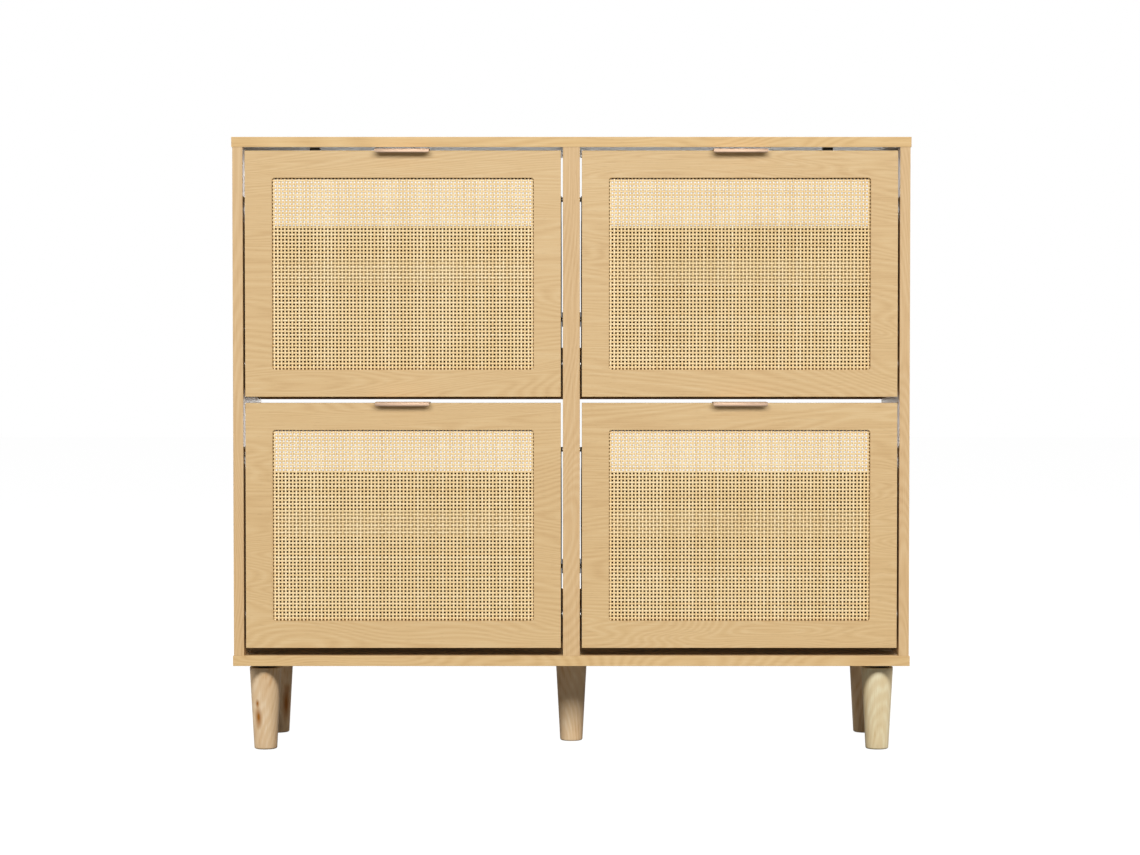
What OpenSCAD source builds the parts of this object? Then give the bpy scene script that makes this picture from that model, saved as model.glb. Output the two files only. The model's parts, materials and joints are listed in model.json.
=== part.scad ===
// Tilt-out shoe cabinet. Four inset doors with woven cane panels each carry a rack of two
// sloping shelves, and swing forward about pins low down behind the door.
//
// Frame: X to the right, the front towards -Y, Z up. The origin is on the floor, under the
// middle of the outer box, which includes the door pulls. A door and its rack are drawn in a
// frame of their own: X from the door's middle, depth behind the door's front face, and height
// above the door's lower edge.

/* [Cabinet] */
// Width of the top and bottom panels
cabinet_w = 1000; // [900:10:1200]
// Depth of the carcass, without the door pulls
carcass_d = 240; // [230:5:300]
// Height from the floor to the top face
cabinet_h = 906; // [890:2:980]
// Thickness of the outer boards and the rails
board_t = 15; // [15:1:18]
// Thickness of the upright between the two columns
divider_t = 25; // [22:1:30]
// How far the top and bottom panels stand out past the sides
overhang = 1.5; // [0:0.5:4]
// Height of a rear rail
rail_h = 80; // [70:5:100]

/* [Legs] */
// Height of a leg below its mount
leg_h = 122; // [100:2:150]
// Diameter of a leg at its top
leg_top_d = 47; // [40:1:54]
// Diameter of a leg at the floor
leg_foot_d = 34; // [26:1:38]
// Rounding of a leg's lower edge
leg_foot_r = 3; // [1:0.5:5]
// Distance of the corner legs' axes from the ends of the cabinet
leg_inset_x = 45; // [40:1:80]
// Distance of the corner legs' axes from the front and rear edges
leg_inset_y = 30; // [30:1:50]
// Diameter of the round mount between a leg and the bottom panel
mount_d = 36; // [34:1:46]

/* [Doors] */
// Thickness of a door frame
door_t = 15; // [15:1:18]
// Width of the frame round the cane opening
frame_w = 40; // [36:1:60]
// Corner radius of the opening
opening_r = 4; // [2:0.5:12]
// Depth of the cane's face behind the frame's face
cane_depth = 7; // [5:0.5:9]
// Thickness of the woven cane
cane_t = 2; // [1:0.25:3]
// Gap at each side of a door
side_gap = 3; // [2.5:0.5:4]
// Gap under the lower doors
bottom_gap = 12; // [8:1:14]
// Gap between a lower and an upper door
middle_gap = 9; // [9:0.5:12]
// Gap over the upper doors
top_gap = 5; // [4:0.5:8]

/* [Door pulls] */
// Width of a pull
pull_w = 80; // [50:5:140]
// How far a pull stands out in front of the door
pull_reach = 25; // [15:1:30]
// Thickness of the pull's sheet metal
pull_t = 1.5; // [1:0.25:1.5]
// Height of the lip at its front edge
pull_lip = 6; // [4:0.5:9]
// Height of the flange behind the door
pull_flange = 14; // [12:1:18]

/* [Tilt-out racks] */
// How far a door opens, in degrees
open_angle = 50; // [35:1:50]
// Depth of the pivot behind the door's face
pivot_u = 24; // [24:0.5:26]
// Height of the pivot above the door's lower edge
pivot_w = 48; // [46:1:50]
// Thickness of a rack side
rack_t = 10; // [9:0.5:11]
// Thickness of a shelf board
shelf_t = 9; // [8:0.5:9]
// Slope of the shelves with the door closed, in degrees
shelf_slope = 49; // [47:1:50]
// Length of the lower shelf along its slope
lower_shelf_l = 213; // [190:1:214]
// Length of the upper shelf along its slope
upper_shelf_l = 101; // [95:1:108]

/* [Hidden] */
$fn = 48;
EPS = 0.05;

OAK = [0.87, 0.73, 0.54];
OAK_CORE = [0.80, 0.66, 0.46];
LEG_WOOD = [0.81, 0.69, 0.53];
CANE = [0.93, 0.82, 0.62];
ROSE_GOLD = [0.90, 0.76, 0.66];
BLACK_PLASTIC = [0.10, 0.09, 0.08];
DARK_BOARD = [0.17, 0.12, 0.08];
BLACK_STEEL = [0.07, 0.07, 0.07];
ZINC = [0.72, 0.72, 0.70];
BEECH = [0.78, 0.62, 0.42];

// Carcass planes
mount_t = 4;
front_y = (pull_reach - carcass_d) / 2;
rear_y = front_y + carcass_d;
floor_under = leg_h + mount_t;
floor_top = floor_under + board_t;
top_under = cabinet_h - board_t;
side_out = cabinet_w / 2 - overhang;
side_in = side_out - board_t;
bay_w = side_in - divider_t / 2;
bay_cx = (side_in + divider_t / 2) / 2;

// Doors
door_w = bay_w - 2 * side_gap;
door_h = (top_under - floor_top - bottom_gap - middle_gap - top_gap) / 2;
door_z = [floor_top + bottom_gap, floor_top + bottom_gap + door_h + middle_gap];
opening_w = door_w - 2 * frame_w;
opening_h = door_h - 2 * frame_w;
rebate = 8;
cane_play = 0.5;

// Rear rails, and the joints of the boards: a dowel and a cam fitting at each station
low_rail_z = floor_top;
mid_rail_z = door_z[1] - 8;
rail_cy = rear_y - board_t / 2;
rail_station = 20;
dowel_ys = [front_y + 62, rear_y - 70];
cam_ys = [front_y + 40, rear_y - 42];
dowel_d = 8;
dowel_l = 30;
dowel_in_face = 9.5;
bolt_d = 7;
bolt_neck_d = 4.4;
bolt_in_face = 10;
cam_d = 15;
cam_h = 12.4;
cam_inset = 34;

// Leg fixings
leg_cx = cabinet_w / 2 - leg_inset_x;
leg_ys = [front_y + leg_inset_y, rear_y - leg_inset_y];
leg_mid_y = (front_y + rear_y) / 2;
leg_edge = 1;
mount_screw_r = 12.5;
mount_screw_l = 12;
sink_d = 7.4;
sink_h = 1.7;
hanger_d = 8;
hanger_in_leg = 35;
hanger_in_floor = 9;

// Screws
screw_d = 3.5;
screw_head_d = 7;
screw_head_h = 1.4;

// Pins that stand out of the uprights into each bay
pin_in_board = 10;
pivot_d = 8;
pivot_reach = 8.5;
collar_d = 14;
collar_t = 1.5;
pivot_bore = 7;
pivot_play = 0.05;
stop_d = 7;
stop_reach = 5.7;
stop_collar_d = 22;
stop_play = 0.3;
stop_r = 89;
stop_a = 48.5;
pivot = [pivot_u, pivot_w];
open_stop = pivot + stop_r * [cos(stop_a), sin(stop_a)];
close_stop = [40, 292];

// Rack sides
rack_out = door_w / 2 + 1;
rack_in = rack_out - rack_t;
flange_t = 3;
flange_w = 14;
flange_z0 = 12;
strip_u = 27;
strip_top = 276;
nose_u = close_stop.x - stop_d / 2 - stop_play;
nose_z0 = 280;
nose_top = 296;
boss_r = 15;
quadrant_rim = 10;
quadrant_end = 8;
stop_slot_depth = 4;
arm = 6;
arm_r = 5;
shelf_slot_depth = 4;
shelf_in_slot = 3.5;
shelf_play = 0.2;
scoop = [82, 334];
scoop_r = 80;
window_at = [70, 150];
window_l = 46;
window_d = 48;
ports = [[42, 108, 12], [85.4, 56.6, 10]];

// Shelves: the lower front corner of the board, and its length
LOWER = [[door_t + 10.2, 23.4], lower_shelf_l];
UPPER = [[door_t + 16.3, 173.4], upper_shelf_l];

// Strip of wood behind the cane
cross_t = 9;
cross_z0 = 164;
cross_h = 38;

// Magnetic catches under the top panel, and their strike plates on the upper doors
catch_x = side_in - 104.5;
catch_w = 14;
catch_d = 22;
catch_h = 15;
strike_t = 1;
strike_z = [door_h - 24, door_h - 1];
strike_x = catch_x - bay_cx;

// Screws in the back of a door: place across, depth of the seat, height, and length
rack_screw_ws = [45, 150, 265];
rack_screw_l = 13;
cross_screw_inset = 4.3;
cross_screw_l = 20;
pull_screw_x = 25;
pull_screw_drop = 8;
strike_screw_rise = 6;
short_screw_l = 12;
RACK_SCREWS = [for (x = [-1, 1], w = rack_screw_ws)
    [x * (rack_in - flange_w / 2), door_t + flange_t, w, rack_screw_l]];
CROSS_SCREWS = [for (x = [-1, 1])
    [x * (opening_w / 2 + rebate + cross_screw_inset), door_t + cross_t, cross_z0 + cross_h / 2,
        cross_screw_l]];
PULL_SCREWS = [for (x = [-1, 1])
    [x * pull_screw_x, door_t + pull_t, door_h - pull_screw_drop, short_screw_l]];
DOOR_SCREWS = concat(RACK_SCREWS, CROSS_SCREWS, PULL_SCREWS);
strike_screw = [strike_x, door_t + strike_t, strike_z[0] + strike_screw_rise, short_screw_l];

ROWS = ["lower", "upper"];
COLUMNS = ["left", "right"];
CARCASS = ["top_panel", "bottom_panel", "left_side_panel", "right_side_panel",
    "centre_divider"];
LEG_NAMES = ["front_left_leg", "front_right_leg", "rear_left_leg", "rear_right_leg",
    "centre_leg"];
HARDWARE = ["leg_mount_plates", "leg_hanger_bolts", "leg_mount_screws", "wood_dowels",
    "cam_fittings", "pivot_pins", "stop_pins", "magnetic_catches"];
FLIP_PARTS = ["door_frame", "cane_panel", "door_pull", "cross_rail", "rack_side_left",
    "rack_side_right", "upper_shelf", "lower_shelf", "screws"];

// ---- Helpers ----

// A box between two opposite corners
module block(low, high) translate(low) cube(high - low);

// Extrudes a shape drawn in X and Z, from one depth to another
module through_depth(u0, u1)
    translate([0, u1, 0]) rotate([90, 0, 0]) linear_extrude(u1 - u0) children();

// Extrudes a shape drawn in depth and height, from one X to another
module across(x0, x1)
    translate([x0, 0, 0]) rotate([90, 0, 90]) linear_extrude(x1 - x0) children();

// Rectangle with round corners, its lower left corner at the origin
module round_rect(size, r) {
    translate([r, 0]) square([size.x - 2 * r, size.y]);
    translate([0, r]) square([size.x, size.y - 2 * r]);
    for (x = [r, size.x - r], y = [r, size.y - r]) translate([x, y]) circle(r);
}

// Slot along +X with round ends, its first centre at the origin
module capsule(l, d) {
    translate([0, -d / 2]) square([l, d]);
    for (x = [0, l]) translate([x, 0]) circle(d = d);
}

// Slice of a disc between two angles
module sector(r, a0, a1) intersection() {
    circle(r);
    step = (a1 - a0) / 4;
    polygon([[0, 0], for (a = [a0:step:a1 + step / 2]) 1.2 * r * [cos(a), sin(a)]]);
}

// Curved slot round the origin; its round ends are a little wider than the slot
module arc_slot(r, a0, a1, d) {
    difference() {
        sector(r + d / 2, a0, a1);
        circle(r - d / 2);
    }
    for (a = [a0, a1]) rotate(a) translate([r, 0]) circle(d = d + 0.3);
}

// A quarter of a tube's wall, in the quadrant of -X and +Y
module quarter_bend(r, t) difference() {
    intersection() {
        circle(r);
        translate([-r, 0]) square(r);
    }
    if (r > t) circle(r - t);
}

// Pan-head screw: its head stands on the seat at the origin and its shank goes down -Z
module screw(l) {
    cylinder(d1 = screw_head_d, d2 = screw_head_d - 2, h = screw_head_h);
    translate([0, 0, -l]) cylinder(d = screw_d, h = l + EPS);
}

module screw_hole(l) translate([0, 0, -l - 0.5]) cylinder(d = screw_d + 2 * EPS, h = l + 1);

// ---- Joints of the boards. +Z goes into the board that is joined end on ----

module dowel() translate([0, 0, -dowel_in_face]) cylinder(d = dowel_d, h = dowel_l);

module dowel_hole()
    translate([0, 0, -dowel_in_face - 0.5]) cylinder(d = dowel_d + 2 * EPS, h = dowel_l + 1);

// Bolt with a ball end, and the round cam that pulls on it from the face on the +X side
module cam_fitting() {
    translate([0, 0, -bolt_in_face + 0.2]) cylinder(d = bolt_d, h = cam_inset - 8 + bolt_in_face);
    cylinder(d = bolt_neck_d, h = cam_inset);
    translate([0, 0, cam_inset - 2.5]) cylinder(d = bolt_d, h = 5);
    difference() {
        translate([board_t / 2 - cam_h, 0, cam_inset])
            rotate([0, 90, 0]) cylinder(d = cam_d - 2 * EPS, h = cam_h);
        cylinder(d = bolt_d + 4 * EPS, h = cam_inset + 3.5);
        for (a = [0, 90])
            translate([board_t / 2 - 1, 0, cam_inset]) rotate([a, 0, 0]) cube([4, 1.4, 9], center = true);
    }
}

module cam_hole() {
    translate([0, 0, -bolt_in_face]) cylinder(d = bolt_d + 2 * EPS, h = cam_inset + bolt_in_face);
    translate([board_t / 2 - cam_h - 0.1, 0, cam_inset])
        rotate([0, 90, 0]) cylinder(d = cam_d, h = cam_h + 1);
}

// Puts the first child at each dowel and the second at each cam where the uprights end
module upright_joints()
    for (x = [-side_out + board_t / 2, (board_t - divider_t) / 2, side_out - board_t / 2], top = [0, 1])
        translate([x, 0, top == 1 ? top_under : floor_top])
            mirror([0, 0, top]) mirror([x < -divider_t ? 0 : 1, 0, 0]) {
                for (y = dowel_ys) translate([0, y, 0]) children(0);
                for (y = cam_ys) translate([0, y, 0]) children(1);
            }

// The same where the rear rails meet the uprights; the cams open to the rear
module rail_joints()
    for (column = [-1, 1], end = [-1, 1], z = [low_rail_z, mid_rail_z])
        translate([column * bay_cx + end * bay_w / 2, rail_cy, z + rail_h / 2])
            mirror([end > 0 ? 1 : 0, 0, 0]) rotate([90, 0, 90]) {
                translate([0, -rail_station, 0]) children(0);
                translate([0, rail_station, 0]) children(1);
            }

// Puts its child at one point of every rack, on both faces of its bay, +Z into the bay
module at_bay_faces(point)
    for (column = [-1, 1], row = [0, 1], side = [-1, 1])
        translate([column * bay_cx + side * bay_w / 2, front_y + point.x, door_z[row] + point.y])
            rotate([0, -side * 90, 0]) children();

// A pin set in an upright, standing out of it by the given reach
module pin(d, reach) translate([0, 0, -pin_in_board]) cylinder(d = d, h = pin_in_board + reach);

module pin_holes() {
    at_bay_faces(pivot) pin(pivot_d + 2 * EPS, 1);
    for (p = [open_stop, close_stop]) at_bay_faces(p) pin(stop_d + 2 * EPS, 1);
}

module at_legs() {
    for (x = [-leg_cx, leg_cx], y = leg_ys) translate([x, y, 0]) children();
    translate([0, leg_mid_y, 0]) children();
}

// ---- Carcass ----

module top_panel() color(OAK) difference() {
    block([-cabinet_w / 2, front_y, top_under], [cabinet_w / 2, rear_y, cabinet_h]);
    upright_joints() { dowel_hole(); cam_hole(); }
}

module bottom_panel() color(OAK) difference() {
    block([-cabinet_w / 2, front_y, floor_under], [cabinet_w / 2, rear_y, floor_top]);
    upright_joints() { dowel_hole(); cam_hole(); }
    at_legs() translate([0, 0, floor_under - 1]) cylinder(d = hanger_d + 1, h = hanger_in_floor + 2);
    at_mount_screws() screw_hole(mount_screw_l);
}

// An upright board between two X planes, drilled for every fitting that meets it
module upright(x0, x1) color(OAK) difference() {
    block([x0, front_y, floor_top], [x1, rear_y, top_under]);
    upright_joints() { dowel_hole(); cam_hole(); }
    rail_joints() { dowel_hole(); cam_hole(); }
    pin_holes();
}

module left_side_panel() upright(-side_out, -side_in);

module right_side_panel() upright(side_in, side_out);

module centre_divider() upright(-divider_t / 2, divider_t / 2);

// Rail across one bay at the rear, its lower edge at z
module rear_rail(column, z) color(OAK) difference() {
    translate([column * bay_cx, 0, 0])
        block([-bay_w / 2, rear_y - board_t, z], [bay_w / 2, rear_y, z + rail_h]);
    rail_joints() { dowel_hole(); cam_hole(); }
}

// ---- Legs and their fixings ----

module leg() color(LEG_WOOD) difference() {
    foot = leg_foot_d / 2 - leg_foot_r;
    rotate_extrude() polygon([
        [0, 0],
        for (a = [-90:22.5:0]) [foot + leg_foot_r * cos(a), leg_foot_r + leg_foot_r * sin(a)],
        [leg_top_d / 2, leg_h - leg_edge],
        [leg_top_d / 2 - leg_edge, leg_h],
        [0, leg_h]
    ]);
    translate([0, 0, leg_h - hanger_in_leg - 1]) cylinder(d = hanger_d + 2 * EPS, h = hanger_in_leg + 2);
}

module leg_mount_plates() color(BLACK_STEEL) difference() {
    at_legs() translate([0, 0, leg_h]) cylinder(d = mount_d, h = mount_t);
    at_legs() translate([0, 0, leg_h - 1]) cylinder(d = hanger_d + 2 * EPS, h = mount_t + 2);
    at_mount_screws() screw_hole(mount_screw_l);
    at_mount_screws() cylinder(d = sink_d, h = sink_h + 1);
}

module leg_hanger_bolts() color(ZINC)
    at_legs() translate([0, 0, leg_h - hanger_in_leg])
        cylinder(d = hanger_d, h = hanger_in_leg + mount_t + hanger_in_floor);

// The seats of the mount screws, four round each leg, sunk in its mount, heads downwards
module at_mount_screws()
    at_legs() for (a = [0:90:270])
        rotate(a) translate([mount_screw_r, 0, leg_h + sink_h]) rotate([180, 0, 0]) children();

module leg_mount_screws() color(ZINC) at_mount_screws() screw(mount_screw_l);

// ---- Carcass fittings ----

module wood_dowels() color(BEECH) {
    upright_joints() { dowel(); union(); }
    rail_joints() { dowel(); union(); }
}

module cam_fittings() color(ZINC) {
    upright_joints() { union(); cam_fitting(); }
    rail_joints() { union(); cam_fitting(); }
}

module pivot_pins() color(ZINC) at_bay_faces(pivot) {
    pin(pivot_d, pivot_reach);
    cylinder(d = collar_d, h = collar_t);
}

module stop_pins() color(ZINC) {
    for (p = [open_stop, close_stop]) at_bay_faces(p) pin(stop_d, stop_reach);
    at_bay_faces(open_stop) cylinder(d = stop_collar_d, h = collar_t);
}

module magnetic_catches() color(BLACK_PLASTIC)
    for (column = [-1, 1]) translate([column * catch_x, front_y + door_t + strike_t + 0.4, 0]) {
        block([-catch_w / 2, 1.5, top_under - catch_h], [catch_w / 2, catch_d, top_under]);
        for (x = [-catch_w / 2 + 2, catch_w / 2 - 4])
            block([x, 0, top_under - catch_h + 2], [x + 2, 4, top_under - 3]);
    }

// ---- Doors ----

// Puts a door's own frame in one of the four openings
module at_flip(row, column)
    translate([(column == "left" ? -1 : 1) * bay_cx, front_y, door_z[row == "lower" ? 0 : 1]]) children();

// Centred outline of the cane opening, grown on every side
module opening_outline(grow)
    translate([-opening_w / 2 - grow, frame_w - grow])
        round_rect([opening_w + 2 * grow, opening_h + 2 * grow], opening_r);

// A seat on the back of the door, +Z out of it
module at_seat(s) translate([s.x, s.y, s.z]) rotate([-90, 0, 0]) children();

module door_screw_holes(list) for (s = list) at_seat(s) screw_hole(s[3]);

module door_frame(row, column) color(OAK) difference() {
    block([-door_w / 2, 0, 0], [door_w / 2, door_t, door_h]);
    through_depth(-1, door_t + 1) opening_outline(0);
    through_depth(cane_depth, door_t + 1) opening_outline(rebate);
    door_screw_holes(DOOR_SCREWS);
    if (row == "upper") mirror([column == "left" ? 1 : 0, 0, 0]) door_screw_holes([strike_screw]);
}

module cane_panel() color(CANE)
    through_depth(cane_depth, cane_depth + cane_t) opening_outline(rebate - cane_play);

// Bent sheet: lip in front, plate on the door's top edge, flange down its back
module door_pull() color(ROSE_GOLD) difference() {
    bend_r = 2 * pull_t;
    translate([0, 0, door_h]) across(-pull_w / 2, pull_w / 2) {
        translate([-pull_reach, pull_t - pull_lip]) square([pull_t, pull_lip - bend_r]);
        translate([-pull_reach + bend_r, pull_t - bend_r]) quarter_bend(bend_r, pull_t);
        translate([-pull_reach + bend_r, 0]) square([pull_reach - bend_r + door_t, pull_t]);
        translate([door_t, 0]) mirror([1, 0]) quarter_bend(pull_t, pull_t);
        translate([door_t, -pull_flange]) square([pull_t, pull_flange]);
    }
    door_screw_holes(PULL_SCREWS);
}

module strike_plate(column) color(ZINC) mirror([column == "left" ? 1 : 0, 0, 0]) difference() {
    block([strike_x - catch_w / 2, door_t, strike_z[0]],
        [strike_x + catch_w / 2, door_t + strike_t, strike_z[1]]);
    door_screw_holes([strike_screw]);
}

module door_screws(row, column) color(ZINC) {
    for (s = DOOR_SCREWS) at_seat(s) screw(s[3]);
    if (row == "upper") mirror([column == "left" ? 1 : 0, 0, 0]) at_seat(strike_screw) screw(strike_screw[3]);
}

// ---- Racks ----

module cross_rail() color(OAK_CORE) difference() {
    block([-rack_in + flange_w + 0.5, door_t, cross_z0],
        [rack_in - flange_w - 0.5, door_t + cross_t, cross_z0 + cross_h]);
    door_screw_holes(CROSS_SCREWS);
}

// Frame of a shelf board's section: X up its slope, Y out of its upper face
module at_shelf(shelf) translate(shelf[0]) rotate(shelf_slope) children();

function shelf_end(shelf) = shelf[0] + shelf[1] * [cos(shelf_slope), sin(shelf_slope)];

// Outline of a rack side: a strip on the door, an arm round each shelf, webs between them
module rack_outline() difference() {
    intersection() {
        union() {
            translate([door_t, flange_z0]) square([strip_u - door_t, nose_top - flange_z0]);
            translate([door_t, nose_z0]) square([nose_u - door_t, nose_top - nose_z0]);
            for (s = [LOWER, UPPER])
                at_shelf(s) translate([-arm, -arm]) round_rect([s[1] + 2 * arm, shelf_t + 2 * arm], arm_r);
            polygon([[door_t, LOWER[0].y], shelf_end(LOWER), shelf_end(UPPER), [door_t, UPPER[0].y]]);
            difference() {
                polygon([
                    [door_t, UPPER[0].y], shelf_end(UPPER), [strip_u, strip_top], [door_t, strip_top]
                ]);
                translate(scoop) circle(scoop_r);
            }
            translate(pivot) circle(boss_r);
            translate(pivot)
                sector(stop_r + quadrant_rim, stop_a - open_angle - quadrant_end, stop_a + quadrant_end);
        }
        translate([door_t, 0]) square([carcass_d, door_h]);
    }
    translate(window_at) rotate(shelf_slope) capsule(window_l, window_d);
    for (p = ports) translate([p.x, p.y]) circle(p.z);
}

// Rack side at the right; its outer face carries the pivot bore and the stop slot
module rack_side() color(BLACK_PLASTIC) difference() {
    union() {
        across(rack_in, rack_out) rack_outline();
        block([rack_in - flange_w, door_t, flange_z0], [rack_in + 1, door_t + flange_t, nose_top]);
    }
    across(rack_in - 1, rack_in + shelf_slot_depth)
        for (s = [LOWER, UPPER])
            at_shelf(s) translate([-shelf_play, -shelf_play])
                square([s[1] + 2 * shelf_play, shelf_t + 2 * shelf_play]);
    across(rack_out - stop_slot_depth, rack_out + 1)
        translate(pivot) arc_slot(stop_r, stop_a - open_angle, stop_a, stop_d + 2 * stop_play);
    translate([rack_out - pivot_bore, pivot.x, pivot.y])
        rotate([0, 90, 0]) cylinder(d = pivot_d + 2 * pivot_play, h = pivot_bore + 1);
    door_screw_holes(RACK_SCREWS);
}

module shelf_board(shelf) color(DARK_BOARD)
    across(-rack_in - shelf_in_slot, rack_in + shelf_in_slot)
        at_shelf(shelf) square([shelf[1], shelf_t]);

// One sub-part of a door and its rack
module flip_part(row, column, part) {
    if (part == "door_frame") door_frame(row, column);
    if (part == "cane_panel") cane_panel();
    if (part == "door_pull") door_pull();
    if (part == "cross_rail") cross_rail();
    if (part == "rack_side_left") mirror([1, 0, 0]) rack_side();
    if (part == "rack_side_right") rack_side();
    if (part == "upper_shelf") shelf_board(UPPER);
    if (part == "lower_shelf") shelf_board(LOWER);
    if (part == "screws") door_screws(row, column);
    if (part == "strike_plate") strike_plate(column);
}

// ---- The object ----

top_panel();
bottom_panel();
left_side_panel();
right_side_panel();
centre_divider();
rear_rail(-1, low_rail_z);  // rear_rail_low_left
rear_rail(1, low_rail_z);  // rear_rail_low_right
rear_rail(-1, mid_rail_z);  // rear_rail_mid_left
rear_rail(1, mid_rail_z);  // rear_rail_mid_right
translate([-leg_cx, leg_ys[0], 0]) leg();  // front_left_leg
translate([leg_cx, leg_ys[0], 0]) leg();  // front_right_leg
translate([-leg_cx, leg_ys[1], 0]) leg();  // rear_left_leg
translate([leg_cx, leg_ys[1], 0]) leg();  // rear_right_leg
translate([0, leg_mid_y, 0]) leg();  // centre_leg
leg_mount_plates();
leg_hanger_bolts();
leg_mount_screws();
wood_dowels();
cam_fittings();
pivot_pins();
stop_pins();
magnetic_catches();

for (row = ROWS, column = COLUMNS, part = concat(FLIP_PARTS, row == "upper" ? ["strike_plate"] : []))
    at_flip(row, column) flip_part(row, column, part);
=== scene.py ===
import json
import math
import random

import bpy
import numpy as np
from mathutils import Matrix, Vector


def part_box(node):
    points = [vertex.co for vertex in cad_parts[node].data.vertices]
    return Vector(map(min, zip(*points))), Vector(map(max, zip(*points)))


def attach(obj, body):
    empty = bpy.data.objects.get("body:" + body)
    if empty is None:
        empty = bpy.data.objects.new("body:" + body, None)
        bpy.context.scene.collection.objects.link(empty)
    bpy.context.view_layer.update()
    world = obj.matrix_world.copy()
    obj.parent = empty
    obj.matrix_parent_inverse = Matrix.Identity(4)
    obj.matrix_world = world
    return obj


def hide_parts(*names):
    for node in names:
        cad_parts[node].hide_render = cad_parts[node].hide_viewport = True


MM = 0.001
ROWS = ("lower", "upper")
COLUMNS = ("left", "right")

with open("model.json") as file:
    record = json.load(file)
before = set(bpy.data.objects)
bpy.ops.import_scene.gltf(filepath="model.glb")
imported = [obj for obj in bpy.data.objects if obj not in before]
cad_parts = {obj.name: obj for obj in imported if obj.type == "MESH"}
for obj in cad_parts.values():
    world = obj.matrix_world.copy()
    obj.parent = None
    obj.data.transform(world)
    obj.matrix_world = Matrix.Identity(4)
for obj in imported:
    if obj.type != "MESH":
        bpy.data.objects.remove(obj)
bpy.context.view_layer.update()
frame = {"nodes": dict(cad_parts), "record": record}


# ---- Node trees ----


def srgb(red, green, blue):
    """A linear colour from 0-255 display values."""
    out = []
    for value in (red, green, blue):
        c = value / 255
        out.append(c / 12.92 if c <= 0.04045 else ((c + 0.055) / 1.055) ** 2.4)
    return (*out, 1.0)


def tinted(colour, tint):
    """The colour with its red, green and blue each multiplied by the tint's."""
    return [c * t for c, t in zip(colour, (*tint, 1))]


class Surface:
    """One Principled material and short ways to feed its sockets."""

    def __init__(self, name, metallic=0.0, specular=0.5, coat=0.0, coat_roughness=0.1):
        self.material = bpy.data.materials.new(name)
        self.material.use_nodes = True
        self.tree = self.material.node_tree
        self.shader = self.tree.nodes["Principled BSDF"]
        self.shader.inputs["Metallic"].default_value = metallic
        self.shader.inputs["Specular IOR Level"].default_value = specular
        self.shader.inputs["Coat Weight"].default_value = coat
        self.shader.inputs["Coat Roughness"].default_value = coat_roughness

    def link(self, source, socket):
        self.tree.links.new(source, socket)

    def give(self, socket, value):
        """Feeds a socket from another node's output, or sets its own value."""
        if isinstance(value, bpy.types.NodeSocket):
            self.link(value, socket)
        else:
            socket.default_value = value

    def place(self, scale=(1, 1, 1), turn=(0, 0, 0), shift=(0, 0, 0)):
        """Object coordinates in metres, turned, then scaled and shifted."""
        coords = self.tree.nodes.new("ShaderNodeTexCoord")
        turned = self.tree.nodes.new("ShaderNodeMapping")
        turned.inputs["Rotation"].default_value = turn
        self.link(coords.outputs["Object"], turned.inputs["Vector"])
        scaled = self.tree.nodes.new("ShaderNodeMapping")
        scaled.inputs["Scale"].default_value = scale
        scaled.inputs["Location"].default_value = shift
        self.link(turned.outputs["Vector"], scaled.inputs["Vector"])
        return scaled.outputs["Vector"]

    def noise(self, vector, scale=1.0, detail=3.0, rough=0.5, distortion=0.0):
        made = self.tree.nodes.new("ShaderNodeTexNoise")
        self.give(made.inputs["Vector"], vector)
        made.inputs["Scale"].default_value = scale
        made.inputs["Detail"].default_value = detail
        made.inputs["Roughness"].default_value = rough
        made.inputs["Distortion"].default_value = distortion
        return made.outputs["Fac"]

    def cells(self, vector, scale=1.0):
        made = self.tree.nodes.new("ShaderNodeTexVoronoi")
        self.give(made.inputs["Vector"], vector)
        made.inputs["Scale"].default_value = scale
        return made.outputs["Distance"]

    def math(self, kind, a, b=0.0):
        made = self.tree.nodes.new("ShaderNodeMath")
        made.operation = kind
        self.give(made.inputs[0], a)
        self.give(made.inputs[1], b)
        return made.outputs["Value"]

    def ramp(self, value, stops):
        """A smooth ramp: stops are (position, colour)."""
        made = self.tree.nodes.new("ShaderNodeValToRGB")
        made.color_ramp.interpolation = "EASE"
        items = made.color_ramp.elements
        while len(items) < len(stops):
            items.new(0.5)
        for item, (position, colour) in zip(items, stops):
            item.position = position
            item.color = colour
        self.give(made.inputs["Fac"], value)
        return made.outputs["Color"]

    def span(self, value, low, high, to_low, to_high):
        """Maps low..high to to_low..to_high, clamped."""
        made = self.tree.nodes.new("ShaderNodeMapRange")
        self.give(made.inputs["Value"], value)
        made.inputs["From Min"].default_value = low
        made.inputs["From Max"].default_value = high
        made.inputs["To Min"].default_value = to_low
        made.inputs["To Max"].default_value = to_high
        return made.outputs["Result"]

    def mix(self, factor, a, b):
        made = self.tree.nodes.new("ShaderNodeMix")
        made.data_type = "RGBA"
        self.give(made.inputs["Factor"], factor)
        self.give(made.inputs["A"], a)
        self.give(made.inputs["B"], b)
        return made.outputs["Result"]

    def colour(self, value):
        self.give(self.shader.inputs["Base Color"], value)

    def rough(self, value):
        self.give(self.shader.inputs["Roughness"], value)

    def bump(self, height, distance, strength=1.0):
        made = self.tree.nodes.new("ShaderNodeBump")
        made.inputs["Distance"].default_value = distance
        made.inputs["Strength"].default_value = strength
        self.give(made.inputs["Height"], height)
        self.link(made.outputs["Normal"], self.shader.inputs["Normal"])


# ---- Materials ----


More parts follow.
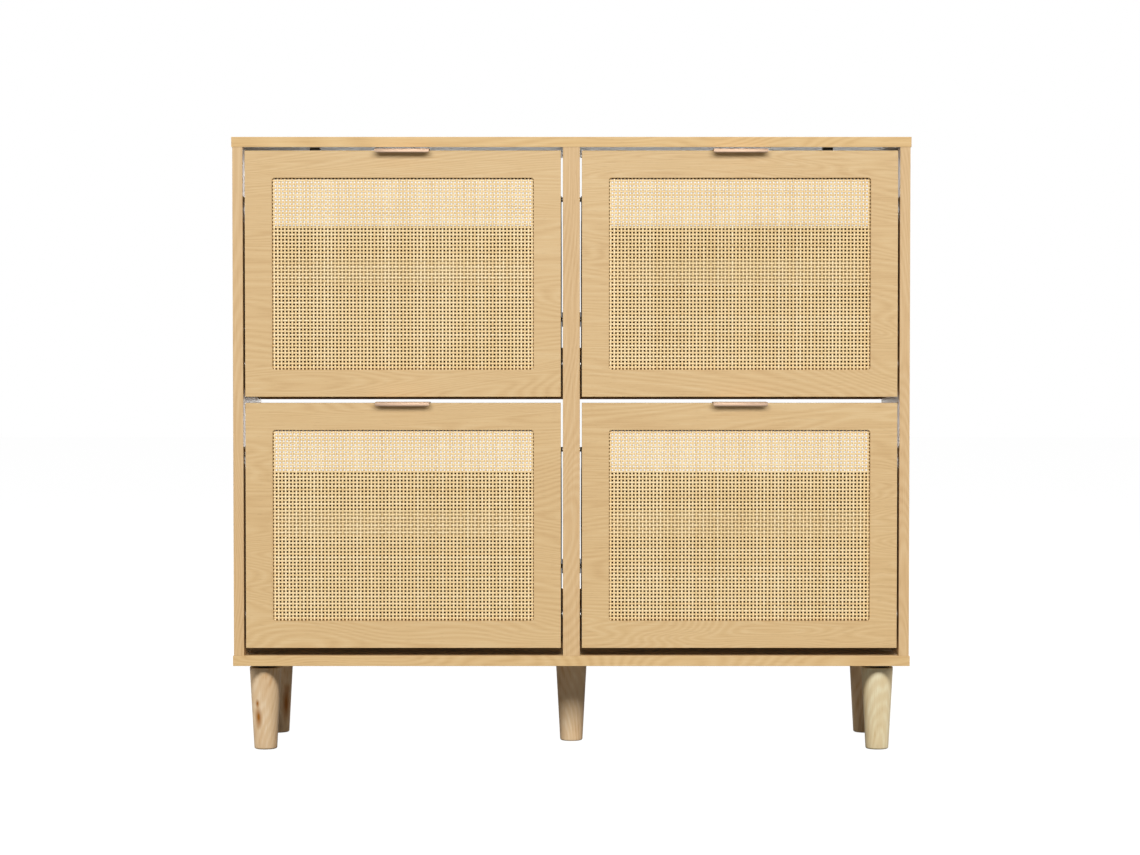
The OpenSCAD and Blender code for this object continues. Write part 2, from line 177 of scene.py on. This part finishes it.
def laminate(name, along, seed, tint=(1.0, 1.0, 1.0), painted_pale_underside=False):
    """Printed light oak foil. Its grain runs along one axis, with slow arches and fine pores.
    With painted_pale_underside, faces that point down are a plain near-white grey instead of oak: painted
    light, so the shaded gap under the top shows pale grey."""
    s = Surface(name, specular=0.2)
    along_x = along == "x"
    turn = (0, 0, 0) if along_x else (0, math.radians(90), 0)
    arches = s.place(scale=(1.1, 7.0, 7.0), turn=turn, shift=(seed * 1.7, seed, seed * 0.6))
    bands = s.noise(arches, scale=1.0, detail=2.0, rough=0.45, distortion=0.7)
    rings = s.math("SINE", s.math("MULTIPLY", bands, 420.0))
    fibre = s.noise(s.place(scale=(14, 900, 900), turn=turn, shift=(seed, 0, 0)), detail=3.0, rough=0.6)
    cloud = s.noise(s.place(scale=(2.2, 9, 9), turn=turn, shift=(seed, seed, 0)), detail=2.0)
    pores = s.noise(s.place(scale=(60, 1500, 1500), turn=turn, shift=(0, seed, 0)), detail=1.0)
    grain = s.math("ADD", s.math("MULTIPLY", rings, 0.14), s.math("MULTIPLY", fibre, 0.8))
    grain = s.math("ADD", grain, s.math("MULTIPLY", cloud, 0.29))
    foil = (srgb(198, 163, 113), srgb(208, 175, 125), srgb(214, 184, 136))
    base = s.ramp(grain, [(at, tinted(shade, tint)) for at, shade in zip((0.25, 0.55, 0.85), foil)])
    pore_mask = s.span(pores, 0.66, 0.74, 0.0, 0.45)
    shown = s.mix(pore_mask, base, tinted(srgb(174, 138, 92), tint))
    if painted_pale_underside:
        coords = s.tree.nodes.new("ShaderNodeTexCoord")
        axes = s.tree.nodes.new("ShaderNodeSeparateXYZ")
        s.link(coords.outputs["Normal"], axes.inputs["Vector"])
        # Near-white grey for the downward faces: painted light in the shaded gap under the top.
        painted_pale_grey = s.ramp(fibre, [(0.3, srgb(232, 235, 234)), (0.7, srgb(242, 245, 244))])
        shown = s.mix(s.span(axes.outputs["Z"], -0.9, -0.7, 1.0, 0.0), shown, painted_pale_grey)
    s.colour(shown)
    s.rough(s.span(fibre, 0.2, 0.8, 0.5, 0.38))
    s.bump(s.math("ADD", fibre, s.math("MULTIPLY", pores, 0.4)), 0.00005, 0.5)
    return s.material


def turned_wood(name, centre, seed, knots=(), tint=(1.0, 1.0, 1.0)):
    """Lacquered solid wood. The growth rings lean away from the front with height, so they show as arches.
    Each knot is (x, y, z, half width, half height)."""
    s = Surface(name, specular=0.25, coat=0.08, coat_roughness=0.25)
    pith = Vector((centre[0] + 0.012 * math.sin(seed), centre[1] - 0.004 + 0.006 * math.cos(seed), 0))
    wander = s.noise(s.place(scale=(24, 24, 9), shift=(seed, 0, seed)), detail=2.0)
    local = s.place(scale=(1, 1, 0), turn=(0.09, 0, 0), shift=(-pith.x, -pith.y, 0.0))
    radius = s.tree.nodes.new("ShaderNodeVectorMath")
    radius.operation = "LENGTH"
    s.link(local, radius.inputs[0])
    reach = s.math("ADD", radius.outputs["Value"], s.math("MULTIPLY", wander, 0.012))
    rings = s.math("SINE", s.math("MULTIPLY", reach, 1900.0))
    fibre = s.noise(s.place(scale=(700, 700, 12), shift=(0, seed, 0)), detail=3.0, rough=0.6)
    blotch = s.noise(s.place(scale=(30, 30, 9), shift=(seed, seed, 0)), detail=3.0)
    grain = s.math("ADD", s.math("MULTIPLY", rings, 0.065), s.math("MULTIPLY", fibre, 0.45))
    grain = s.math("ADD", grain, s.math("MULTIPLY", blotch, 0.7))
    wood = (srgb(199, 158, 111), srgb(218, 187, 147), srgb(230, 207, 174))
    base = s.ramp(grain, [(at, tinted(shade, tint)) for at, shade in zip((0.3, 0.58, 0.85), wood)])
    for x, y, z, wide, tall in knots:
        scale = (1 / wide, 1 / KNOT_DEPTH, 1 / tall)
        spot = s.place(scale=scale, shift=(-x / wide, -y / KNOT_DEPTH, -z / tall))
        far = s.tree.nodes.new("ShaderNodeVectorMath")
        far.operation = "LENGTH"
        s.link(spot, far.inputs[0])
        ragged = s.math("MULTIPLY", s.math("SUBTRACT", blotch, 0.5), 1.2)
        edge = s.math("ADD", far.outputs["Value"], ragged)
        base = s.mix(s.span(edge, 0.3, 1.1, 1.0, 0.0), base, srgb(156, 96, 24))
    s.colour(base)
    s.rough(s.span(fibre, 0.2, 0.8, 0.42, 0.3))
    s.bump(s.math("ADD", fibre, s.math("MULTIPLY", rings, 0.1)), 0.00006, 0.5)
    return s.material


def rattan(name, along):
    """Split cane skin: each strand has its own tone, with fine fibres and a few darker scars. The tone
    attribute also holds painted shade at the strands' cut edges and backs, which the darkest brown shows.
    """
    s = Surface(name, specular=0.3)
    stretch = (520, 900, 45) if along == "z" else (45, 900, 520)
    fibre = s.noise(s.place(scale=stretch), detail=3.0, rough=0.6)
    slow = (26, 26, 7) if along == "z" else (7, 26, 26)
    patch = s.noise(s.place(scale=slow), detail=2.0)
    strand = s.tree.nodes.new("ShaderNodeAttribute")
    strand.attribute_name = "tone"
    tone = s.math("ADD", s.math("MULTIPLY", strand.outputs["Fac"], 0.6), s.math("MULTIPLY", patch, 0.15))
    tone = s.math("ADD", tone, s.math("MULTIPLY", fibre, 0.22))
    # The darkest brown is mostly painted shade, at the strands' cut edges and backs.
    shades = (srgb(92, 54, 12), srgb(203, 162, 98), srgb(240, 211, 157), srgb(251, 231, 189))
    base = s.ramp(tone, list(zip((0.13, 0.37, 0.58, 0.88), shades)))
    scar = s.span(s.noise(s.place(scale=(230, 230, 230)), detail=1.0), 0.74, 0.82, 0.0, 0.4)
    s.colour(s.mix(scar, base, srgb(176, 132, 78)))
    s.rough(s.span(fibre, 0.2, 0.8, 0.5, 0.34))
    s.bump(fibre, 0.00006, 0.6)
    return s.material


def satin_metal(name):
    """Pale rose-gold lacquer over steel, with the fine drag marks of rolling."""
    s = Surface(name, metallic=0.5, specular=0.12)
    drag = s.noise(s.place(scale=(12, 1400, 1400)), detail=3.0, rough=0.6)
    cloud = s.noise(s.place(scale=(20, 60, 60)), detail=2.0)
    tone = s.math("ADD", s.math("MULTIPLY", drag, 0.4), s.math("MULTIPLY", cloud, 0.6))
    s.colour(s.ramp(tone, [(0.3, srgb(160, 135, 114)), (0.7, srgb(166, 141, 119))]))
    s.rough(s.span(drag, 0.2, 0.8, 0.4, 0.46))
    s.bump(drag, 0.00001, 0.2)
    return s.material


def moulded_plastic(name, shade):
    """Black moulded plastic with a fine spark texture."""
    s = Surface(name, specular=0.4)
    spark = s.cells(s.place(), scale=2600.0)
    cloud = s.noise(s.place(), scale=55.0, detail=3.0)
    dark = srgb(*[c * 0.8 for c in shade])
    light = srgb(*[c * 1.25 for c in shade])
    s.colour(s.ramp(cloud, [(0.3, dark), (0.7, light)]))
    s.rough(s.span(cloud, 0.3, 0.7, 0.48, 0.62))
    s.bump(spark, 0.00004, 0.6)
    return s.material


def foil_board(name, dark, light):
    """Matt brown foil or stain over wood, with a faint wood print between two shades."""
    s = Surface(name, specular=0.06)
    print_x = s.noise(s.place(scale=(5, 260, 260)), detail=3.0, rough=0.6)
    pores = s.noise(s.place(scale=(50, 1300, 1300)), detail=1.0)
    base = s.ramp(print_x, [(0.3, srgb(*dark)), (0.7, srgb(*light))])
    s.colour(s.mix(s.span(pores, 0.64, 0.72, 0.0, 0.5), base, srgb(*[c * 0.7 for c in dark])))
    s.rough(s.span(print_x, 0.3, 0.7, 0.55, 0.68))
    s.bump(print_x, 0.00004, 0.5)
    return s.material


def powder_coat(name):
    """Black powder coat with its orange-peel surface."""
    s = Surface(name, specular=0.45)
    peel = s.noise(s.place(), scale=900.0, detail=2.0)
    dust = s.noise(s.place(), scale=60.0, detail=3.0)
    s.colour(s.ramp(dust, [(0.3, srgb(24, 23, 22)), (0.7, srgb(38, 36, 34))]))
    s.rough(s.span(dust, 0.3, 0.7, 0.42, 0.56))
    s.bump(peel, 0.00008, 0.5)
    return s.material


def zinc_plate(name):
    """Bright zinc plating with the soft spangle and turning marks of small hardware."""
    s = Surface(name, metallic=1.0)
    spangle = s.cells(s.place(), scale=420.0)
    haze = s.noise(s.place(), scale=160.0, detail=3.0)
    tone = s.math("ADD", s.math("MULTIPLY", spangle, 0.5), s.math("MULTIPLY", haze, 0.6))
    s.colour(s.ramp(tone, [(0.2, srgb(176, 174, 168)), (0.8, srgb(214, 213, 208))]))
    s.rough(s.span(haze, 0.3, 0.7, 0.26, 0.44))
    s.bump(haze, 0.00003, 0.5)
    return s.material


def raw_beech(name):
    """Raw beech with its short dark flecks."""
    s = Surface(name, specular=0.3)
    fibre = s.noise(s.place(scale=(400, 400, 20)), detail=3.0)
    flecks = s.noise(s.place(scale=(1300, 1300, 220)), detail=1.0)
    base = s.ramp(fibre, [(0.3, srgb(196, 156, 112)), (0.7, srgb(222, 188, 146))])
    s.colour(s.mix(s.span(flecks, 0.6, 0.7, 0.0, 0.6), base, srgb(150, 104, 66)))
    s.rough(s.span(fibre, 0.3, 0.7, 0.66, 0.8))
    s.bump(fibre, 0.00008, 0.6)
    return s.material


def dress(obj, material):
    """Gives a piece its one material."""
    obj.data.materials.clear()
    obj.data.materials.append(material)


# ---- Meshes ----


def new_piece(name, points, faces, smooth=True):
    mesh = bpy.data.meshes.new(name)
    mesh.from_pydata([tuple(p) for p in points], [], [tuple(f) for f in faces])
    mesh.polygons.foreach_set("use_smooth", [smooth] * len(mesh.polygons))
    mesh.update()
    obj = bpy.data.objects.new(name, mesh)
    bpy.context.scene.collection.objects.link(obj)
    return obj


def soften(obj, width, angle=40.0, weld=False):
    """Rounds a piece's hard edges a little, as sanding, foil and dies leave them."""
    if weld:
        joined = obj.modifiers.new("join", "WELD")
        joined.merge_threshold = 0.00001
    rounded = obj.modifiers.new("round", "BEVEL")
    rounded.width = width
    rounded.segments = 2
    rounded.limit_method = "ANGLE"
    rounded.angle_limit = math.radians(angle)
    rounded.use_clamp_overlap = False
    rounded.harden_normals = True


def loft(name, rings):
    """A closed solid through rings that all have the same number of points, with a flat cap at each end."""
    count = len(rings[0])
    points = [p for ring in rings for p in ring]
    faces = [list(range(count))[::-1], [len(points) - count + i for i in range(count)]]
    for r in range(len(rings) - 1):
        for i in range(count):
            j = (i + 1) % count
            faces.append((r * count + i, r * count + j, (r + 1) * count + j, (r + 1) * count + i))
    return new_piece(name, points, faces)


def turned(name, profile, centre, segments=96):
    """A solid of revolution about a vertical line: profile holds (radius, height)."""
    rings = []
    for radius, height in profile:
        ring = []
        for k in range(segments):
            angle = 2 * math.pi * k / segments
            x = centre[0] + radius * math.cos(angle)
            y = centre[1] + radius * math.sin(angle)
            ring.append((x, y, height))
        rings.append(ring)
    return loft(name, rings)


# ---- Legs ----

LEG_TOP_R = 23.5 * MM
LEG_FOOT_R = 17 * MM
FOOT_ROUND = 2.5 * MM
TOP_ROUND = 1.2 * MM
# The front right leg is paler than the others in the photo
LEG_TINTS = {"front_right": (1.05, 1.2, 1.22)}
# Knots that face the front, in mm: across from the leg's axis, height, half width, half height
KNOTS = {
    "front_left": ((-9, 49, 7.5, 19), (-10.5, 69, 4, 8)),
    "rear_left": ((14, 44, 7, 32),),
}
KNOT_INSET = 4 * MM
KNOT_DEPTH = 20 * MM


def leg_profile(low, high):
    """Tapers from the top to the foot, with a rounded foot and a small rounded shoulder."""
    out = []
    for k in range(7):
        a = math.radians(-90 + 15 * k)
        out.append((LEG_FOOT_R - FOOT_ROUND * (1 - math.cos(a)), low + FOOT_ROUND * (1 + math.sin(a))))
    straight = 12
    for k in range(1, straight):
        t = k / straight
        z = low + FOOT_ROUND + (high - low - FOOT_ROUND - TOP_ROUND) * t
        out.append((LEG_FOOT_R + (LEG_TOP_R - LEG_FOOT_R) * t, z))
    for k in range(5):
        a = math.radians(22.5 * k)
        out.append((LEG_TOP_R - TOP_ROUND * (1 - math.cos(a)), high - TOP_ROUND * (1 - math.sin(a))))
    return out


def make_legs():
    places = ("front_left", "front_right", "rear_left", "rear_right", "centre")
    legs = []
    for seed, place in enumerate(places):
        node = place + "_leg"
        low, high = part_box(node)
        centre = (low + high) / 2
        leg = turned(place + "_turned_leg", leg_profile(low.z, high.z), centre)
        knots = [
            (centre.x + x * MM, low.y + KNOT_INSET, low.z + z * MM, wide * MM, tall * MM)
            for x, z, wide, tall in KNOTS.get(place, ())
        ]
        tint = LEG_TINTS.get(place, (1.0, 1.0, 1.0))
        dress(leg, turned_wood("Leg wood " + place, centre, seed * 2.3 + 0.8, knots, tint))
        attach(leg, "cabinet")
        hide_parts(node)
        legs.append(leg)
    return legs


# ---- Cane ----

PITCH = 5.28 * MM
STRAND_W = {"x": 3.0 * MM, "z": 2.95 * MM}
STRAND_T = 0.85 * MM
PER_PITCH = 3
END_GAP = 0.2 * MM
WEAVE_PLAY = 0.04 * MM
# Section of a strand: shares of its half width and of its thickness, and its paleness.
# The back is flat and the skin in front is crowned. The paleness falls to dark brown at the cut edges and
# on the back: partly the edges' own browner colour, partly painted shade where the strands meet the holes.
SECTION = (
    (-0.9, 0.5, 0.1),
    (0.9, 0.5, 0.1),
    (1.0, -0.1, 0.0),
    (0.66, -0.4, 1.0),
    (0.0, -0.5, 1.0),
    (-0.66, -0.4, 1.0),
    (-1.0, -0.1, 0.0),
)


def odd_number(spaces):
    """The largest odd number of strands that the spaces between them allow."""
    count = int(spaces) + 1
    return count if count % 2 else count - 1


def strands(along, low, high, seed):
    """Points, faces and tone values of every strand that runs one way in a plain weave that fills the box.
    Each tone value is the strand's own tone times its paleness, so it holds painted shade at the cut edges
    and on the back.
    """
    draw = random.Random(seed)
    a = 0 if along == "x" else 2
    b = 2 - a
    run = high[a] - low[a]
    width = STRAND_W[along]
    count = odd_number((high[b] - low[b] - width) / PITCH)
    first = (low[b] + high[b] - (count - 1) * PITCH) / 2
    crossings = odd_number((run - width) / PITCH)
    start = (low[a] + high[a] - (crossings - 1) * PITCH) / 2
    wave = (high[1] - low[1] - STRAND_T) / 2 - WEAVE_PLAY
    mid = (low[1] + high[1]) / 2
    steps = (crossings - 1) * PER_PITCH
    woven = [start + PITCH * k / PER_PITCH for k in range(steps + 1)]
    along_at = np.array([low[a] + END_GAP, *woven, high[a] - END_GAP])
    phase = (along_at - start) / PITCH
    points, faces, tones_with_painted_shade = [], [], []
    size = len(SECTION)
    for n in range(count):
        half = width / 2 * draw.uniform(0.975, 1.02)
        tone = draw.uniform(0.6, 0.95)
        sway = [draw.uniform(0, 2 * math.pi) for _ in range(3)]
        side = 0.04 * MM * np.sin(along_at * 70 + sway[0]) + 0.03 * MM * np.sin(along_at * 260 + sway[1])
        swell = 1 + 0.02 * np.sin(along_at * 130 + sway[2])
        over = 1 if (n % 2 == 0) == (along == "x") else -1
        depth = mid - over * wave * np.cos(np.pi * phase)
        base = len(points)
        for k, s in enumerate(along_at):
            across = first + n * PITCH + side[k]
            for wide, thick, pale in SECTION:
                p = [0.0, depth[k] + thick * STRAND_T, 0.0]
                p[a] = s
                p[b] = across + wide * half * swell[k]
                points.append(p)
                # Paleness darkens the cut edges and the back: partly their own colour, partly painted
                # shade.
                tones_with_painted_shade.append(tone * pale)
        rings = len(along_at)
        first_cap = [base + i for i in range(size)]
        last_cap = [base + (rings - 1) * size + i for i in range(size)]
        ahead = along == "x"
        faces.append(first_cap if ahead else first_cap[::-1])
        faces.append(last_cap[::-1] if ahead else last_cap)
        for r in range(rings - 1):
            for i in range(size):
                j = (i + 1) % size
                corner = base + r * size
                quad = (corner + i, corner + j, corner + size + j, corner + size + i)
                faces.append(quad[::-1] if ahead else quad)
    return points, faces, tones_with_painted_shade


def make_cane(row, column, seed, materials):
    node = f"{row}_{column}_cane_panel"
    low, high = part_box(node)
    for along, word in (("z", "uprights"), ("x", "crossings")):
        points, faces, tones_with_painted_shade = strands(along, low, high, seed + (0 if along == "z" else 500))
        piece = new_piece(f"{row}_{column}_cane_{word}", points, faces)
        # This attribute carries each strand's tone with painted shade at its edges and back.
        tone = piece.data.attributes.new("tone", "FLOAT", "POINT")
        tone.data.foreach_set("value", tones_with_painted_shade)
        dress(piece, materials[along])
        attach(piece, f"{row}_{column}_flip")
        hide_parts(node)


# ---- Door pulls ----

SHEET_T = 1.5 * MM
FRONT_BEND = 2.25 * MM
BACK_BEND = 1.0 * MM
CORNER_R = 2.2 * MM
EDGE_R = 0.3 * MM
LIP_H = 6 * MM


def quarter_bend(y, z, radius, start, steps):
    """A quarter turn about (y, z), clockwise from the start angle: (y, z, outward normal)."""
    out = []
    for k in range(1, steps + 1):
        a = math.radians(start - 90 * k / steps)
        out.append((y + radius * math.cos(a), z + radius * math.sin(a), (math.cos(a), math.sin(a))))
    return out


def pull_path(low, high):
    """Middle line of the bent sheet from the lip's edge to the flange's edge: (y, z, outward normal)."""
    top = high.z - SHEET_T / 2
    lip_low = high.z - LIP_H
    front = low.y + SHEET_T / 2
    back = high.y - SHEET_T / 2
    out = []
    for k in range(9):
        z = lip_low + (top - FRONT_BEND - lip_low) * k / 8
        out.append((front, z, (-1.0, 0.0)))
    out += quarter_bend(front + FRONT_BEND, top - FRONT_BEND, FRONT_BEND, 180, 8)
    for k in range(1, 9):
        y = front + FRONT_BEND + (back - BACK_BEND - front - FRONT_BEND) * k / 8
        out.append((y, top, (0.0, 1.0)))
    out += quarter_bend(back - BACK_BEND, top - BACK_BEND, BACK_BEND, 90, 6)
    for k in range(1, 13):
        z = top - BACK_BEND - (top - BACK_BEND - low.z) * k / 12
        out.append((back, z, (1.0, 0.0)))
    return out


def make_pull(row, column, material):
    node = f"{row}_{column}_door_pull"
    low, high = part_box(node)
    path = pull_path(low, high)
    lengths = [0.0]
    for (y0, z0, _), (y1, z1, _) in zip(path, path[1:]):
        lengths.append(lengths[-1] + math.hypot(y1 - y0, z1 - z0))
    whole = lengths[-1]
    rings = []
    for (y, z, (ny, nz)), s in zip(path, lengths):
        d = min(s, whole - s)
        cut = 0.0
        if d < CORNER_R:
            cut = CORNER_R - math.sqrt(CORNER_R**2 - (CORNER_R - d) ** 2)
        ring = []
        for side, face in ((1, 1), (1, -1), (-1, -1), (-1, 1)):
            turns = (0, 30, 60, 90) if side == face else (90, 60, 30, 0)
            for turn in turns:
                a = math.radians(turn)
                x = (high.x - cut if side > 0 else low.x + cut) - side * EDGE_R * (1 - math.sin(a))
                h = face * (SHEET_T / 2 - EDGE_R * (1 - math.cos(a)))
                ring.append((x, y + ny * h, z + nz * h))
        rings.append(ring)
    pull = loft(f"{row}_{column}_bent_pull", rings)
    dress(pull, material)
    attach(pull, f"{row}_{column}_flip")
    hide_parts(node)
    return pull


# ---- Beading that holds the cane in its rebate ----

BEAD_W = 9.3 * MM
BEAD_T = 3.6 * MM
BEAD_SLOPE_W = 1.6 * MM


def make_bead(row, column, material):
    """A mitred strip round the back of the cane: the rebate's own outline, BEAD_W wide."""
    low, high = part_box(f"{row}_{column}_cane_panel")
    back = high.y + 0.1 * MM
    shoulder = (BEAD_W, BEAD_T * 0.45)
    section = ((0.0, 0.0), (BEAD_W, 0.0), shoulder, (BEAD_W - BEAD_SLOPE_W, BEAD_T), (0.0, BEAD_T))
    corners = []
    for sx, sz in ((-1, -1), (1, -1), (1, 1), (-1, 1)):
        x = low.x if sx < 0 else high.x
        z = low.z if sz < 0 else high.z
        corners.append([(x - sx * w, back + d, z - sz * w) for w, d in section])
    count = len(section)
    points = [p for ring in corners for p in ring]
    faces = []
    for r in range(4):
        after = (r + 1) % 4
        for i in range(count):
            j = (i + 1) % count
            faces.append((r * count + i, after * count + i, after * count + j, r * count + j))
    bead = new_piece(f"{row}_{column}_cane_bead", points, faces, smooth=False)
    soften(bead, 0.3 * MM, angle=30)
    dress(bead, material)
    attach(bead, f"{row}_{column}_flip")


# ---- CAD parts that stay, with softened edges ----

SOFT_EDGE = {
    "oak_laminate": 0.5 * MM,
    "leg_wood": 0.5 * MM,
    "dark_board": 0.6 * MM,
    "black_plastic": 0.4 * MM,
    "black_steel": 0.35 * MM,
    "zinc_steel": 0.12 * MM,
}


def grain_axis(node):
    """The grain runs along a part's longer side, X or Z."""
    low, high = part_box(node)
    size = high - low
    return "z" if size.z > 2 * size.x else "x"


def dress_cad_nodes():
    shared = {
        "black_plastic": moulded_plastic("Black moulded plastic", (34, 33, 31)),
        "dark_board": foil_board("Dark shelf foil", (38, 20, 4), (62, 37, 11)),
        "black_steel": powder_coat("Black powder coat"),
        "zinc_steel": zinc_plate("Zinc plate"),
        "beech": raw_beech("Raw beech"),
    }
    slots = {p["node"]: p["material_slot"] for p in frame["record"]["subparts"]}
    for seed, (node, slot) in enumerate(sorted(slots.items())):
        obj = frame["nodes"][node]
        if obj.hide_render:
            continue
        if slot in shared:
            material = shared[slot]
        elif grain_axis(node) == "z":
            material = laminate("Oak foil " + node, "z", seed * 0.37, (0.985, 0.965, 0.99))
        else:
            # The top panel's downward faces get painted pale grey: painted light in the shaded gap under
            # it.
            material = laminate("Oak foil " + node, "x", seed * 0.37, painted_pale_underside=node == "top_panel")
        dress(obj, material)
        if slot in SOFT_EDGE:
            soften(obj, SOFT_EDGE[slot], weld=True)


# ---- Stage, lights and camera ----

CENTRE = Vector((0, 0, 0.45))
# Of what the camera sees of the floor, this share is plain white glow, which lightens the shadows on it
FLOOR_GLOW_SHARE = 0.72
FLOOR_GLOW = 1.36
CAMERA_AT = (-0.002, -4.2175, 0.600)
CAMERA_DIP = 1.69
CAMERA_LENS = 88.1


def softbox(name, place, wide, tall, power):
    """A soft rectangular light that faces the middle of the cabinet and doesn't show in the picture."""
    light = bpy.data.lights.new(name, "AREA")
    light.shape = "RECTANGLE"
    light.size = wide
    light.size_y = tall
    light.energy = power
    obj = bpy.data.objects.new(name, light)
    bpy.context.scene.collection.objects.link(obj)
    obj.location = place
    obj.rotation_mode = "QUATERNION"
    obj.rotation_quaternion = (CENTRE - obj.location).to_track_quat("-Z", "Y")
    obj.visible_camera = False
    return obj


def link_light(light, pieces, state):
    """INCLUDE: the softbox lights these pieces only. EXCLUDE: it lights every piece but these."""
    group = bpy.data.collections.new(light.name + " pieces")
    for piece in pieces:
        group.objects.link(piece)
    for entry in group.collection_objects:
        entry.light_linking.link_state = state
    light.light_linking.receiver_collection = group


def make_world(ambient):
    """White to the camera, softer as light on the object."""
    world = bpy.data.worlds.new("Studio")
    bpy.context.scene.world = world
    world.use_nodes = True
    tree = world.node_tree
    seen = tree.nodes["Background"]
    seen.inputs["Color"].default_value = (1, 1, 1, 1)
    seen.inputs["Strength"].default_value = 1.0
    lit = tree.nodes.new("ShaderNodeBackground")
    lit.inputs["Color"].default_value = (1, 1, 1, 1)
    lit.inputs["Strength"].default_value = ambient
    rays = tree.nodes.new("ShaderNodeLightPath")
    both = tree.nodes.new("ShaderNodeMixShader")
    tree.links.new(rays.outputs["Is Camera Ray"], both.inputs["Fac"])
    tree.links.new(lit.outputs["Background"], both.inputs[1])
    tree.links.new(seen.outputs["Background"], both.inputs[2])
    tree.links.new(both.outputs["Shader"], tree.nodes["World Output"].inputs["Surface"])


def make_floor():
    """A pale floor that the camera sees as white but for a faint shadow under the legs."""
    side = 14.0
    corners = [(-side, -side, 0), (side, -side, 0), (side, side, 0), (-side, side, 0)]
    floor = new_piece("floor", corners, [(0, 1, 2, 3)], smooth=False)
    material = bpy.data.materials.new("Pale floor")
    material.use_nodes = True
    tree = material.node_tree
    shader = tree.nodes["Principled BSDF"]
    shader.inputs["Base Color"].default_value = (0.2, 0.2, 0.195, 1)
    shader.inputs["Roughness"].default_value = 0.8
    glow = tree.nodes.new("ShaderNodeEmission")
    glow.inputs["Strength"].default_value = FLOOR_GLOW
    rays = tree.nodes.new("ShaderNodeLightPath")
    share = tree.nodes.new("ShaderNodeMath")
    share.operation = "MULTIPLY"
    share.inputs[1].default_value = FLOOR_GLOW_SHARE
    tree.links.new(rays.outputs["Is Camera Ray"], share.inputs[0])
    both = tree.nodes.new("ShaderNodeMixShader")
    tree.links.new(share.outputs["Value"], both.inputs["Fac"])
    tree.links.new(shader.outputs["BSDF"], both.inputs[1])
    tree.links.new(glow.outputs["Emission"], both.inputs[2])
    tree.links.new(both.outputs["Shader"], tree.nodes["Material Output"].inputs["Surface"])
    floor.data.materials.append(material)
    return floor


def make_camera():
    data = bpy.data.cameras.new("Camera")
    data.sensor_width = 36
    data.lens = CAMERA_LENS
    data.clip_end = 60
    camera = bpy.data.objects.new("Camera", data)
    bpy.context.scene.collection.objects.link(camera)
    camera.location = CAMERA_AT
    camera.rotation_euler = (math.radians(90 - CAMERA_DIP), 0, 0)
    bpy.context.scene.camera = camera


def make_studio(legs, pulls):
    """A low front softbox, higher ones for the top, legs, pulls and floor, and fills at the sides and back.
    All but the side fills skip some pieces, so that each group of pieces has its own brightness."""
    make_world(0.07)
    floor = make_floor()
    nodes = [frame["nodes"][name] for name in ("top_panel", "bottom_panel", "leg_mount_plates")]
    high_lit = [*legs, floor, *nodes]
    front = softbox("Front softbox", (0.3, -9.8, 3.0), 6.6, 2.3, 985)
    link_light(front, high_lit, "EXCLUDE")
    high = softbox("High softbox", (0.8, -9.8, 8.4), 5.0, 4.4, 2050)
    front_legs = legs[:2]
    link_light(high, [piece for piece in high_lit if piece not in front_legs], "INCLUDE")
    steep = softbox("Steep softbox", (0.0, -5.2, 9.0), 3.0, 2.0, 1830)
    link_light(steep, front_legs, "INCLUDE")
    overhead = softbox("Overhead softbox", (0.0, -2.6, 9.8), 3.0, 2.0, 760)
    link_light(overhead, pulls, "INCLUDE")
    for side, word in ((-1, "Left"), (1, "Right")):
        softbox(word + " fill", (side * 3.6, 0.5, 1.6), 2.0, 2.0, 72)
    back = softbox("Back fill", (0.0, 4.6, 2.6), 3.0, 2.0, 85)
    link_light(back, [frame["nodes"]["bottom_panel"]], "EXCLUDE")
    rear_boards = [
        node
        for name, node in frame["nodes"].items()
        if name.startswith("rear_rail") or name.endswith("side_panel")
    ]
    rear_boards += [frame["nodes"][name] for name in ("centre_divider", "top_panel", "bottom_panel")]
    rear = softbox("Rear board fill", (0.6, 4.6, 0.95), 3.0, 1.8, 75)
    link_light(rear, rear_boards, "INCLUDE")
    settings = bpy.context.scene.view_settings
    settings.view_transform = "Standard"
    settings.look = "None"
    make_camera()


# ---- The object ----

turned_legs = make_legs()
cane_skins = {"x": rattan("Cane crossings", "x"), "z": rattan("Cane uprights", "z")}
pull_metal = satin_metal("Rose gold lacquer")
# Its dark stain is partly the bead's own colour and partly painted shade in the rebate, where the cane's
# edge holes show it.
bead_stain_and_painted_shade = foil_board("Stained bead with painted shade", (84, 54, 28), (112, 76, 42))
door_pulls = []
for index, (door_row, door_column) in enumerate([(r, c) for r in ROWS for c in COLUMNS]):
    make_cane(door_row, door_column, 100 + 7 * index, cane_skins)
    door_pulls.append(make_pull(door_row, door_column, pull_metal))
    make_bead(door_row, door_column, bead_stain_and_painted_shade)
dress_cad_nodes()
make_studio(turned_legs, door_pulls)
